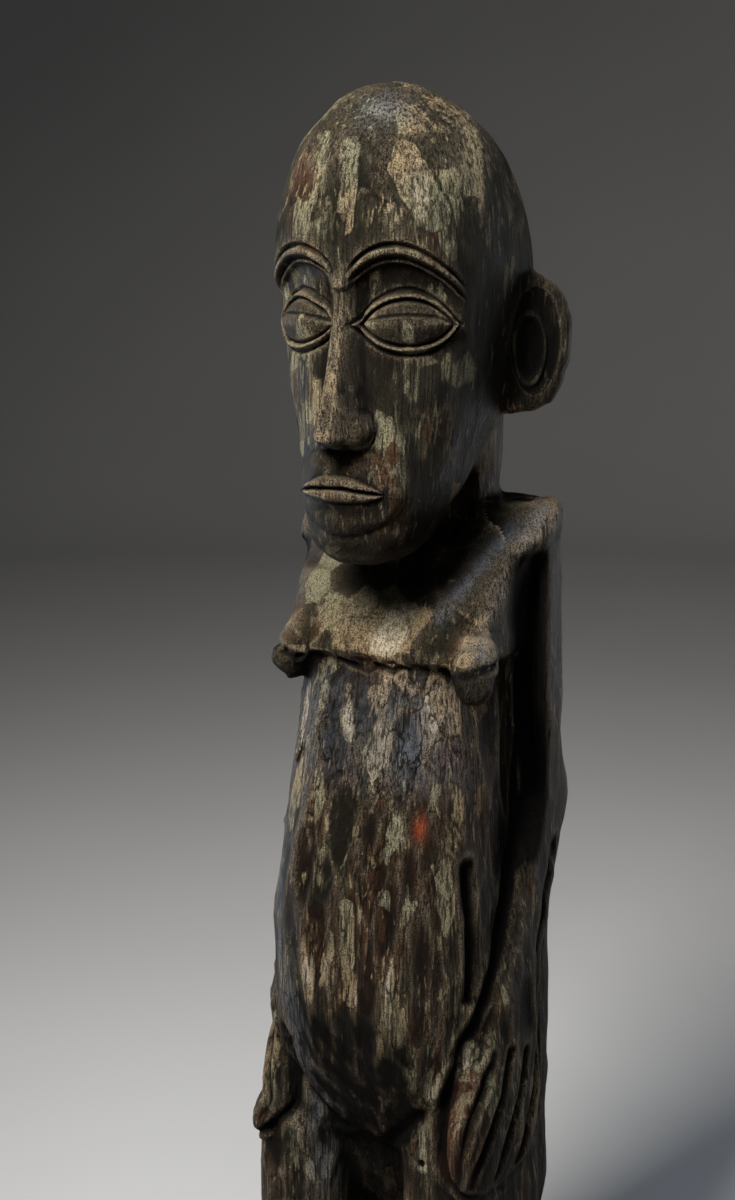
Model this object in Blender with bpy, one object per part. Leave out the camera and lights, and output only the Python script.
"""Ancestor figure carved from one log, standing on a display block.

The figure is a single piece of hardwood, so it is one solid. It is roughed out as overlapping
lofts (head, neck, body, chest, arms, hands, legs, feet, ears), which a voxel remesh grows into
one closed skin. The display block holds it by a threaded rod in each leg, with a washer and a
nut sunk in the underside, and a felt sheet closes the nut pockets.

Metres, +Z up. The figure faces -Y and its own left side is +X. The origin is on the table,
under the middle of the block.
"""

import math

import bmesh
import bpy
from mathutils import Vector

MM = 0.001

# Driving dimensions, in millimetres.
GAP = 0.3
FIGURE_HEIGHT = 618
FIGURE_BACK = 17  # the feet are longer in front of the figure's axis, so it stands behind the middle
BLOCK_WIDTH = 150
BLOCK_HEIGHT = 36
BLOCK_CHAMFER = 3
FELT_WIDTH = 142
FELT_THICKNESS = 2
FELT_TOP = FELT_THICKNESS
BLOCK_BOTTOM = FELT_TOP + GAP
BLOCK_TOP = BLOCK_BOTTOM + BLOCK_HEIGHT
SOLE_Z = BLOCK_TOP + GAP

# Hanger bolts (M8) that hold the figure to the block, one in each leg, measured from the leg's sole.
BOLT_X = 33
BOLT_Y = 19
BOLT_RADIUS = 4
BOLT_BORE_RADIUS = BOLT_RADIUS + GAP
BOLT_IN_LEG = 50
BOLT_CHAMFER = 1
POCKET_RADIUS = 12
POCKET_DEPTH = 14
POCKET_TOP = BLOCK_BOTTOM + POCKET_DEPTH
WASHER_RADIUS = 10
WASHER_THICKNESS = 1.6
WASHER_TOP = POCKET_TOP - GAP
NUT_ACROSS_FLATS = 13
NUT_THICKNESS = 6.5
NUT_TOP = WASHER_TOP - WASHER_THICKNESS - GAP
BOLT_BELOW_NUT = 2

# Where each finger's middle runs on the left hand, from knuckle to tip.
FINGERS = (
    ((49, -42, 204), (46, -47, 190), (44, -49, 168)),
    ((58, -35, 200), (56, -45, 182), (53, -51, 164)),
    ((60, -22, 195), (59.5, -32, 177), (57.5, -42, 160)),
    ((61.5, -8, 190), (61, -17, 172), (59.5, -26, 156)),
    ((62.5, 4, 186), (62, -2, 170), (61, -8, 157)),
)

# Skin of the carving.
RING_POINTS = 40
RING_STEP = 4
VOXEL = 0.002
SMOOTHING = 5
KEPT_SHARE = 0.066  # of the remesh's triangles

# How far a cutter reaches past the wall that it cuts.
PAST = 5


def clear_scene():
    for obj in list(bpy.data.objects):
        bpy.data.objects.remove(obj)


def material(name, colour, roughness, metallic=0.0):
    made = bpy.data.materials.new(name)
    made.use_nodes = True
    shader = made.node_tree.nodes["Principled BSDF"]
    shader.inputs["Base Color"].default_value = (*colour, 1.0)
    shader.inputs["Roughness"].default_value = roughness
    shader.inputs["Metallic"].default_value = metallic
    return made


def power(value, exponent):
    return math.copysign(abs(value) ** exponent, value)


def ring(x, width_front, width_back, front, back, corner):
    """A closed outline in the XY plane: a squarish ellipse, wider at the front or the back."""
    points = []
    middle = (front + back) / 2
    for i in range(RING_POINTS):
        angle = 2 * math.pi * i / RING_POINTS
        across = power(math.cos(angle), 2 / corner)
        along = power(math.sin(angle), 2 / corner)
        half_width = width_front + (width_back - width_front) * (along + 1) / 2
        points.append((x + across * half_width, middle + along * (back - front) / 2))
    return points


def catmull_rom(before, start, end, after, t):
    return 0.5 * (
        2 * start
        + (end - before) * t
        + (2 * before - 5 * start + 4 * end - after) * t * t
        + (3 * start - before - 3 * end + after) * t * t * t
    )


def smooth_sections(sections):
    """The same sections, with smooth ones between them about every RING_STEP millimetres."""
    made = []
    last = len(sections) - 1
    for i in range(last):
        around = [sections[max(0, min(last, i + k))] for k in (-1, 0, 1, 2)]
        steps = max(1, round(abs(around[2][0] - around[1][0]) / RING_STEP))
        for step in range(steps):
            t = step / steps
            made.append([catmull_rom(*values, t) for values in zip(*around)])
    made.append(list(sections[-1]))
    return made


def skin_rings(bm, rings):
    """Quads between closed rings of points, with a flat cap at each end."""
    loops = [[bm.verts.new(Vector(p) * MM) for p in points] for points in rings]
    faces = []
    for low, high in zip(loops, loops[1:]):
        for i, vert in enumerate(low):
            after = (i + 1) % len(low)
            faces.append(bm.faces.new((vert, low[after], high[after], high[i])))
    faces.append(bm.faces.new(reversed(loops[0])))
    faces.append(bm.faces.new(loops[-1]))
    bmesh.ops.recalc_face_normals(bm, faces=faces)


def loft(bm, sections, side=1):
    """Upright loft. Each section: z, x, width_front, width_back, front, back, corner."""
    rings = []
    for z, x, width_front, width_back, front, back, corner in smooth_sections(sections):
        outline = ring(x, width_front, width_back, front, back, corner)
        rings.append([(side * px, py, pz) for px, py, pz in ((*p, z) for p in outline)])
    skin_rings(bm, rings)


def slab_loft(bm, sections, side=1):
    """Upright loft of a turned slab. Each section: z, x, y, half_thickness, half_depth, turn."""
    rings = []
    for z, x, y, half_thickness, half_depth, turn in smooth_sections(sections):
        outline = ring(0, half_thickness, half_thickness, -half_depth, half_depth, 2.8)
        cos, sin = math.cos(math.radians(turn)), math.sin(math.radians(turn))
        rings.append(
            [(side * (x + px * cos - py * sin), y + px * sin + py * cos, z) for px, py in outline]
        )
    skin_rings(bm, rings)


def head(bm):
    loft(
        bm,
        [
            (430, 0, 12, 14, -57, -32, 2.4),
            (436, 0, 20, 22, -62, -22, 2.4),
            (452, 0, 28, 31, -64, -6, 2.4),
            (475, 0, 35, 39, -63, 18, 2.4),
            (500, 0, 41, 46, -61, 36, 2.4),
            (528, 0, 46, 50, -60, 43, 2.4),
            (553, 0, 48, 51, -63, 43, 2.4),
            (575, 0, 46, 47, -62, 38, 2.3),
            (593, 0, 40, 40, -56, 24, 2.2),
            (606, 0, 29, 29, -46, 8, 2.1),
            (615, 0, 16, 16, -36, -8, 2.0),
            (FIGURE_HEIGHT, 0, 4, 4, -27, -19, 2.0),
        ],
    )


def nose(bm):
    loft(
        bm,
        [
            (478, 0, 9, 12, -78, -56, 3.0),
            (483, 0, 9, 12, -79, -56, 3.0),
            (505, 0, 6.5, 9, -73, -56, 3.0),
            (530, 0, 5, 8, -67, -54, 2.6),
            (546, 0, 6, 10, -65, -54, 2.4),
        ],
    )


def lips(bm):
    loft(
        bm,
        [
            (451, 0, 12, 20, -66, -50, 2.6),
            (456, 0, 15, 23, -70, -50, 2.6),
            (463, 0, 15, 23, -70, -50, 2.6),
            (469, 0, 12, 20, -66, -50, 2.6),
        ],
    )


def strand(bm, points, radius):
    """A rounded ridge through the points, as close beads that the remesh makes one."""
    for start, end in zip(points, points[1:]):
        start, end = Vector(start), Vector(end)
        steps = max(1, round((end - start).length / (0.6 * radius)))
        for step in range(steps + 1):
            bead = bmesh.ops.create_icosphere(bm, subdivisions=2, radius=radius * MM)
            bmesh.ops.translate(bm, vec=start.lerp(end, step / steps) * MM, verts=bead["verts"])


def face_depth(x):
    """Y of the head's front at eye height, x millimetres from its middle."""
    middle, reach, half_width, corner = -8.5, 51.5, 47, 2.4
    return middle - reach * (1 - abs(x / half_width) ** corner) ** (1 / corner)


def eye(bm, side):
    """A low almond that bulges from the front of the head, under an arched brow."""
    ball = bmesh.ops.create_uvsphere(bm, u_segments=24, v_segments=16, radius=1)
    for vert in ball["verts"]:
        x, y, z = vert.co
        across = 23 + 16 * x
        out = face_depth(across) + (3 if y < 0 else 8) * y
        vert.co = Vector((side * across, out, 525 + 9 * (z - 0.3 * z * x * x))) * MM
    brow = [(5, 541), (11, 547), (20, 551), (29, 549), (36, 543), (41, 534)]
    strand(bm, [(side * x, face_depth(x) - 2, z) for x, z in brow], 3)


def ear(bm, side):
    """A half disc that stands out and back from the side of the head, thinner at its rim."""
    rings = []
    for out, half_thickness, half_height, back, up in (
        (34, 6.0, 29, -1, 518),
        (43, 6.0, 31, 3, 517),
        (52, 5.5, 29, 8, 516),
        (58, 4.8, 25, 12, 516),
        (62, 3.8, 18, 14, 517),
        (64.5, 2.0, 9, 15.5, 518),
    ):
        outline = ring(0, half_height, half_height, -half_thickness, half_thickness, 2.3)
        rings.append([(side * out, back + py, up + px) for px, py in outline])
    skin_rings(bm, rings)


def neck(bm):
    loft(
        bm,
        [
            (405, 0, 32, 32, -8, 33, 2.2),
            (436, 0, 33, 33, -8, 36, 2.2),
            (455, 0, 33, 33, -11, 39, 2.2),
            (475, 0, 33, 33, -14, 40, 2.2),
            (500, 0, 33, 33, -16, 38, 2.2),
        ],
    )


def body(bm):
    loft(
        bm,
        [
            (150, 0, 30, 48, -30, 34, 3.0),
            (164, 0, 42, 54, -42, 40, 3.0),
            (182, 0, 48, 56, -51, 43, 3.0),
            (206, 0, 51, 56, -59, 43, 3.0),
            (236, 0, 51, 55, -62, 38, 3.0),
            (262, 0, 50, 53, -61, 34, 3.0),
            (290, 0, 49, 50, -58, 32, 3.0),
            (320, 0, 47, 48, -53, 31, 3.0),
            (350, 0, 45, 48, -45, 31, 3.0),
            (385, 0, 42, 48, -36, 32, 3.0),
            (410, 0, 40, 48, -24, 33, 3.0),
        ],
    )


def back(bm):
    """The wood that joins both arms and hips to the body behind the grooves."""
    loft(
        bm,
        [
            (156, 0, 55, 59, -4, 42, 4.0),
            (205, 0, 55, 59, 2, 42, 4.0),
            (262, 0, 53, 57, 8, 37, 4.0),
            (300, 0, 54, 55, 18, 33, 4.0),
            (360, 0, 54, 54, 20, 32, 4.0),
            (430, 0, 54, 54, 18, 33, 4.0),
        ],
    )


def chest(bm):
    """A wedge that slopes from the shoulders to a ledge, its right shoulder lower and rounder."""
    before = set(bm.verts)
    loft(
        bm,
        [
            (386, 0, 51, 50, -41, 33, 3.6),
            (389, 0, 51, 50, -40, 33, 3.6),
            (408, 0, 51, 51, -30, 34, 3.6),
            (424, 0, 53, 55, -17, 34, 4.0),
            (430, 0, 55, 57, -11, 34, 4.6),
            (435, 0, 60, 60, -6, 35, 5.0),
            (446, 0, 60, 60, 2, 35, 5.0),
            (450, 0, 57, 57, 8, 33, 5.0),
        ],
    )
    for vert in set(bm.verts) - before:
        if vert.co.z > 420 * MM and vert.co.x < 0:
            vert.co.z -= 8 * MM * (vert.co.x / (60 * MM)) ** 2


def breast(bm, side):
    """A round knob under the corner of the chest, on a short taper that runs up into it."""
    top = Vector((41 if side > 0 else -36, -25, 393)) * MM
    end = Vector((46.5 if side > 0 else -42, -37, 379)) * MM
    aim = end - top
    taper = bmesh.ops.create_cone(
        bm,
        cap_ends=True,
        segments=24,
        radius1=11 * MM,
        radius2=8 * MM,
        depth=aim.length,
    )
    turn = aim.to_track_quat("Z", "Y").to_matrix()
    for vert in taper["verts"]:
        vert.co = turn @ vert.co + (top + end) / 2
    knob = bmesh.ops.create_icosphere(bm, subdivisions=3, radius=8 * MM)
    for vert in knob["verts"]:
        vert.co += end


def arm(bm, side):
    slab_loft(
        bm,
        [
            (436, 53, 18, 6.5, 14, 0),
            (422, 53, 20, 7, 13.5, 0),
            (385, 53, 20.5, 7, 13.5, 0),
            (355, 53, 22, 7, 13.5, 0),
            (332, 53, 26, 7, 15, 0),
            (312, 53.5, 27, 7, 17, -3),
            (300, 53.5, 22, 7, 19, -5),
            (275, 53.5, 10, 7, 20, -6),
            (248, 53.5, -3, 7, 21, -6),
            (222, 54, -12, 7, 23, -6),
            (204, 54.5, -18, 7, 27, -7),
            (188, 54.5, -21, 7, 33, -7),
            (165, 54.5, -22, 7, 34, -7),
            (152, 54, -22, 6, 31, -7),
        ],
        side,
    )


def fingers(bm, side):
    """Five ridges that slant down over the hand, the thumb along its front edge."""
    for run in FINGERS:
        strand(bm, [(side * x, y, z) for x, y, z in run], 4)


def between_thighs(bm):
    """The wood left between the thighs, set back from their fronts."""
    loft(
        bm,
        [
            (104, 0, 14, 14, -6, 26, 3),
            (112, 0, 20, 20, -18, 32, 3),
            (126, 0, 22, 22, -28, 36, 3),
            (150, 0, 24, 24, -36, 38, 3),
            (170, 0, 24, 24, -40, 38, 3),
        ],
    )


def leg(bm, side):
    loft(
        bm,
        [
            (222, 33, 16, 20, -30, 36, 3.0),
            (205, 34, 19, 21, -42, 42, 3.2),
            (185, 34.5, 21, 22, -49, 44, 3.6),
            (160, 35.5, 22, 22, -50, 45, 3.8),
            (146, 36.5, 23.5, 22, -50, 45, 3.8),
            (130, 38, 25, 22, -50, 44, 3.8),
            (108, 38, 25, 21, -50, 42, 3.8),
            (92, 37, 23, 20, -46, 34, 3.4),
            (75, 34, 18.5, 18, -36, 27, 2.8),
            (57, 33, 17, 18, -27, 31, 2.6),
            (38, 33, 15.5, 16.5, -23, 27, 2.6),
            (22, 33, 15, 16, -22, 23, 2.6),
            (2, 33, 17, 17, -26, 25, 2.6),
        ],
        side,
    )


def buttock(bm, side):
    ball = bmesh.ops.create_uvsphere(bm, u_segments=24, v_segments=16, radius=1)
    for vert in ball["verts"]:
        x, y, z = vert.co
        vert.co = Vector((side * (29 + 27 * x), 36 + 13 * y, 172 + 34 * z)) * MM


def foot(bm, side):
    """A flat block with five toe ridges across its front."""
    loft(
        bm,
        [
            (-3, 34, 24, 18, -62, 29, 3.6),
            (6, 34, 24, 18, -62, 29, 3.6),
            (12, 34, 22, 17, -56, 28, 3.4),
            (22, 34, 15, 15, -32, 25, 3.0),
        ],
        side,
    )
    for across in (-17, -8.5, 0, 8.5, 17):
        x = side * (34 + across)
        strand(bm, [(x, -48, 9), (x, -60, 5.5)], 4)


def new_object(name, bm, finish):
    mesh = bpy.data.meshes.new(name)
    bm.to_mesh(mesh)
    bm.free()
    obj = bpy.data.objects.new(name, mesh)
    bpy.context.scene.collection.objects.link(obj)
    mesh.materials.append(finish)
    return obj


def cylinder(name, radius, bottom, top, x, y, finish, segments=40):
    bm = bmesh.new()
    bmesh.ops.create_cone(
        bm,
        cap_ends=True,
        segments=segments,
        radius1=radius * MM,
        radius2=radius * MM,
        depth=(top - bottom) * MM,
    )
    obj = new_object(name, bm, finish)
    obj.location = Vector((x, y, (bottom + top) / 2)) * MM
    smooth_round(obj)
    return obj


def smooth_round(obj):
    obj.data.shade_smooth()
    obj.data.set_sharp_from_angle(angle=math.radians(35))


def box(name, width, depth, bottom, top, finish):
    bm = bmesh.new()
    bmesh.ops.create_cube(bm, size=1.0)
    bmesh.ops.scale(bm, vec=Vector((width, depth, top - bottom)) * MM, verts=bm.verts)
    obj = new_object(name, bm, finish)
    obj.location.z = (bottom + top) / 2 * MM
    return obj


def chamfer(obj, width, segments=1):
    bevel = obj.modifiers.new("chamfer", "BEVEL")
    bevel.width = width * MM
    bevel.segments = segments


def cut(obj, cutter):
    """Takes the cutter's shape out of the object, and hides the cutter."""
    cutter.hide_render = True
    cutter.display_type = "WIRE"
    boolean = obj.modifiers.new("cut_" + cutter.name, "BOOLEAN")
    boolean.operation = "DIFFERENCE"
    boolean.object = cutter


def carved_figure(wood):
    bm = bmesh.new()
    for part in (head, nose, lips, neck, body, between_thighs, back, chest):
        part(bm)
    for side in (1, -1):
        for part in (eye, ear, breast, arm, fingers, buttock, leg, foot):
            part(bm, side)
    bmesh.ops.translate(bm, vec=Vector((0, FIGURE_BACK, SOLE_Z)) * MM, verts=bm.verts)
    obj = new_object("carved_figure", bm, wood)
    skin = obj.modifiers.new("one_skin", "REMESH")
    skin.mode = "VOXEL"
    skin.voxel_size = VOXEL
    soften = obj.modifiers.new("soften", "SMOOTH")
    soften.factor = 0.5
    soften.iterations = SMOOTHING
    thin = obj.modifiers.new("thin", "DECIMATE")
    thin.ratio = KEPT_SHARE
    cut(obj, box("sole_cutter", 2 * BLOCK_WIDTH, 2 * BLOCK_WIDTH, SOLE_Z - 10 * PAST, SOLE_Z, wood))
    for name, side in (("left", 1), ("right", -1)):
        top = SOLE_Z + BOLT_IN_LEG + GAP
        cut(obj, bolt_bore(f"{name}_leg_bore", SOLE_Z - PAST, top, side, wood))
    return obj


def bolt_bore(name, bottom, top, side, finish):
    return cylinder(name, BOLT_BORE_RADIUS, bottom, top, side * BOLT_X, BOLT_Y, finish, 24)


def display_block(wood):
    block = box("display_block", BLOCK_WIDTH, BLOCK_WIDTH, BLOCK_BOTTOM, BLOCK_TOP, wood)
    chamfer(block, BLOCK_CHAMFER)
    for name, side in (("left", 1), ("right", -1)):
        cut(block, bolt_bore(f"{name}_block_bore", BLOCK_BOTTOM - PAST, BLOCK_TOP + PAST, side, wood))
        pocket = cylinder(
            f"{name}_pocket",
            POCKET_RADIUS,
            BLOCK_BOTTOM - PAST,
            POCKET_TOP,
            side * BOLT_X,
            BOLT_Y,
            wood,
        )
        cut(block, pocket)


def fastening(name, side, steel):
    """One leg's hanger bolt, washer and nut."""
    x = side * BOLT_X
    bolt_bottom = NUT_TOP - NUT_THICKNESS - BOLT_BELOW_NUT
    bolt = cylinder(
        f"hanger_bolt_{name}", BOLT_RADIUS, bolt_bottom, SOLE_Z + BOLT_IN_LEG, x, BOLT_Y, steel
    )
    chamfer(bolt, BOLT_CHAMFER)
    bolt.modifiers["chamfer"].limit_method = "ANGLE"
    washer_bottom = WASHER_TOP - WASHER_THICKNESS
    washer = cylinder(f"washer_{name}", WASHER_RADIUS, washer_bottom, WASHER_TOP, x, BOLT_Y, steel)
    cut(washer, bolt_bore(f"{name}_washer_bore", washer_bottom - PAST, WASHER_TOP + PAST, side, steel))
    nut_radius = NUT_ACROSS_FLATS / 2 / math.cos(math.pi / 6)
    nut = cylinder(
        f"hex_nut_{name}", nut_radius, NUT_TOP - NUT_THICKNESS, NUT_TOP, x, BOLT_Y, steel, 6
    )
    chamfer(nut, 0.5)
    cut(nut, bolt_bore(f"{name}_nut_bore", NUT_TOP - NUT_THICKNESS - PAST, NUT_TOP + PAST, side, steel))


def main():
    clear_scene()
    carved_figure(material("carved_wood", (0.09, 0.065, 0.045), 0.5))
    display_block(material("block_wood", (0.035, 0.026, 0.02), 0.4))
    steel = material("zinc_plated_steel", (0.55, 0.55, 0.53), 0.35, 1.0)
    for name, side in (("left", 1), ("right", -1)):
        fastening(name, side, steel)
    felt = box("felt_sheet", FELT_WIDTH, FELT_WIDTH, 0, FELT_TOP, material("felt", (0.02, 0.022, 0.02), 0.95))
    chamfer(felt, 0.3)


main()
